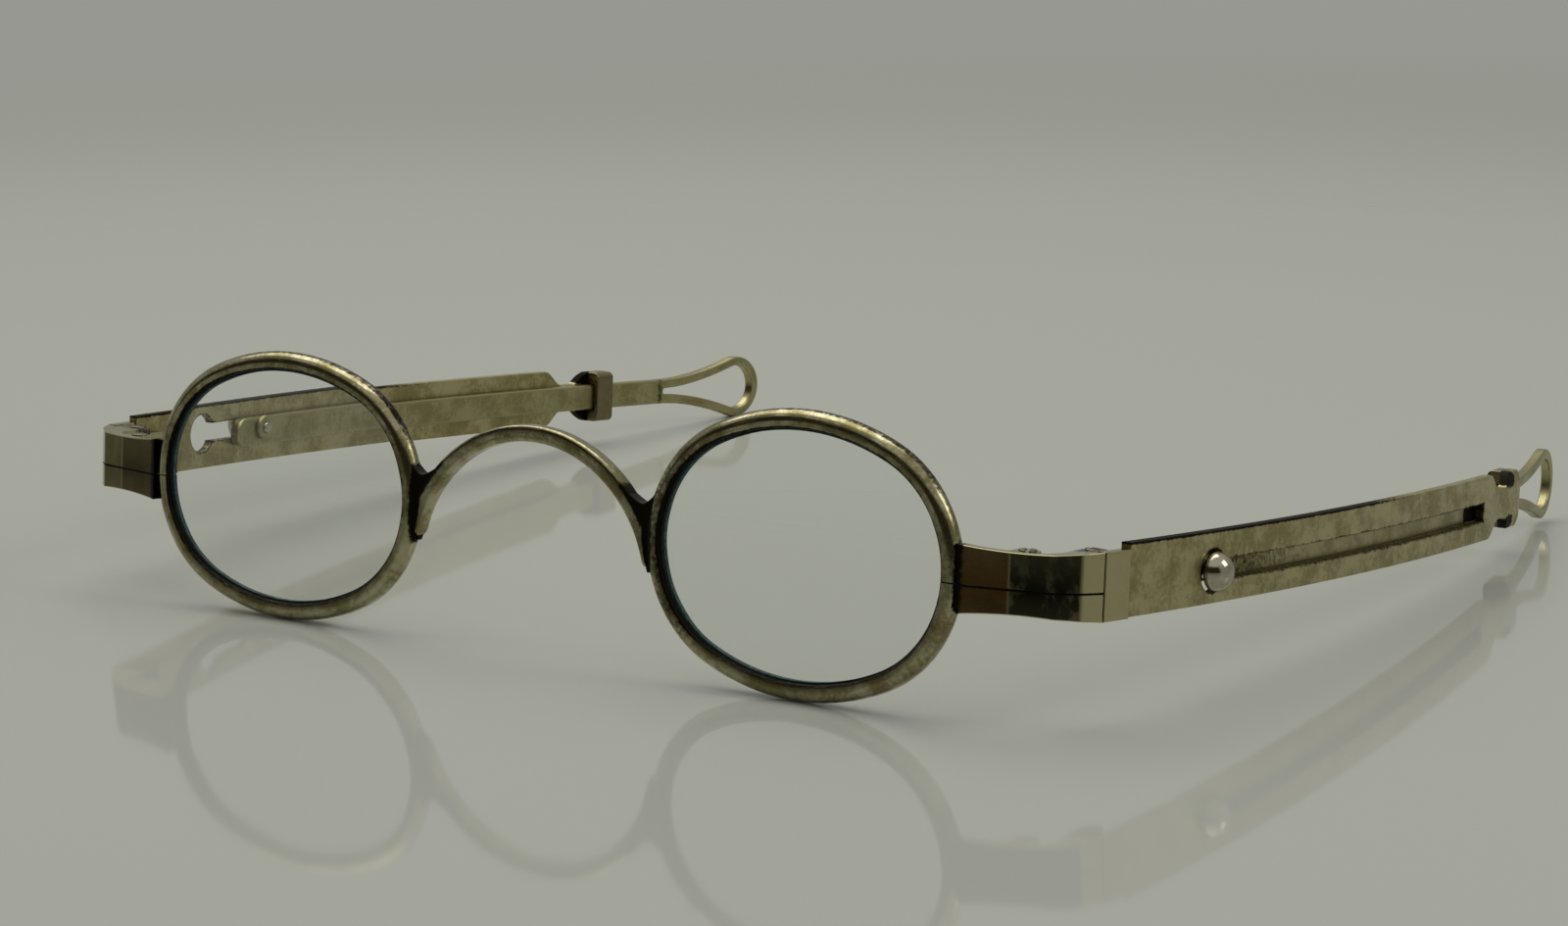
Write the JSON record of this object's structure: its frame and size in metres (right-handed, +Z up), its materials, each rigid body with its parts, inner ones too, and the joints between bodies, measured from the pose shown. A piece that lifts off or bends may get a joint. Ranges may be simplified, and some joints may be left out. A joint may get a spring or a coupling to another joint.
{
  "type": "spectacles",
  "caption": "Antique-style spectacles with oval wire rims, an arched bridge and folding bowed temples, each a slotted strip with a sliding bar that ends in a teardrop eye.",
  "frame": {"origin": "middle of the bounding box at the surface that the spectacles stand on", "axes": "+X to the wearer's right, across the rims; +Y backwards along the open temples; +Z up from the surface"},
  "size_m": [0.1109, 0.1036, 0.0231],
  "materials": {
    "rim_silver": "aged silver, satin with tarnish in the hollows",
    "end_silver": "aged silver, half polished, brown tarnish",
    "strip_silver": "aged silver, satin with fine scratches and small pits",
    "slider_silver": "aged silver, rubbed bright by sliding",
    "stud_silver": "aged silver, polished by the fingers",
    "screw_silver": "dark aged metal",
    "lens_glass": "clear, polished"
  },
  "bodies": {
    "front": {"rim_right": "rim_silver", "rim_left": "rim_silver", "bridge": "rim_silver", "lens_right": "lens_glass", "lens_left": "lens_glass", "end_piece_upper_right": "end_silver", "end_piece_lower_right": "end_silver", "end_piece_upper_left": "end_silver", "end_piece_lower_left": "end_silver", "closing_screw_right": "screw_silver", "closing_screw_left": "screw_silver", "hinge_screw_right": "screw_silver", "hinge_screw_left": "screw_silver"},
    "temple_right": {"temple_joint_right": "end_silver", "temple_strip_right": "strip_silver", "slide_keeper_right": "strip_silver"},
    "temple_left": {"temple_joint_left": "end_silver", "temple_strip_left": "strip_silver", "slide_keeper_left": "strip_silver"},
    "slider_right": {"slider_right": "slider_silver", "slider_stud_right": "stud_silver", "stud_washer_right": "stud_silver"},
    "slider_left": {"slider_left": "slider_silver", "slider_stud_left": "stud_silver", "stud_washer_left": "stud_silver"}
  },
  "joints": [
    {"name": "temple_fold_right", "type": "hinge", "parent": "front", "child": "temple_right", "pos_m": [0.04961, -0.04447, 0.01108], "axis": [0.0523, 0.0865, 0.9949], "range_deg": [0, 90]},
    {"name": "temple_fold_left", "type": "hinge", "parent": "front", "child": "temple_left", "pos_m": [-0.04961, -0.04447, 0.01108], "axis": [-0.0523, -0.0865, -0.9949], "range_deg": [0, 86]},
    {"name": "temple_slide_right", "type": "hinge", "parent": "temple_right", "child": "slider_right", "pos_m": [-0.23114, -0.00341, 0.00751], "axis": [0, 0.0867, 0.9962], "range_deg": [0, 10.02]},
    {"name": "temple_slide_left", "type": "hinge", "parent": "temple_left", "child": "slider_left", "pos_m": [0.23114, -0.00341, 0.00751], "axis": [0, -0.0867, -0.9962], "range_deg": [-1.54, 8.48]}
  ]
}
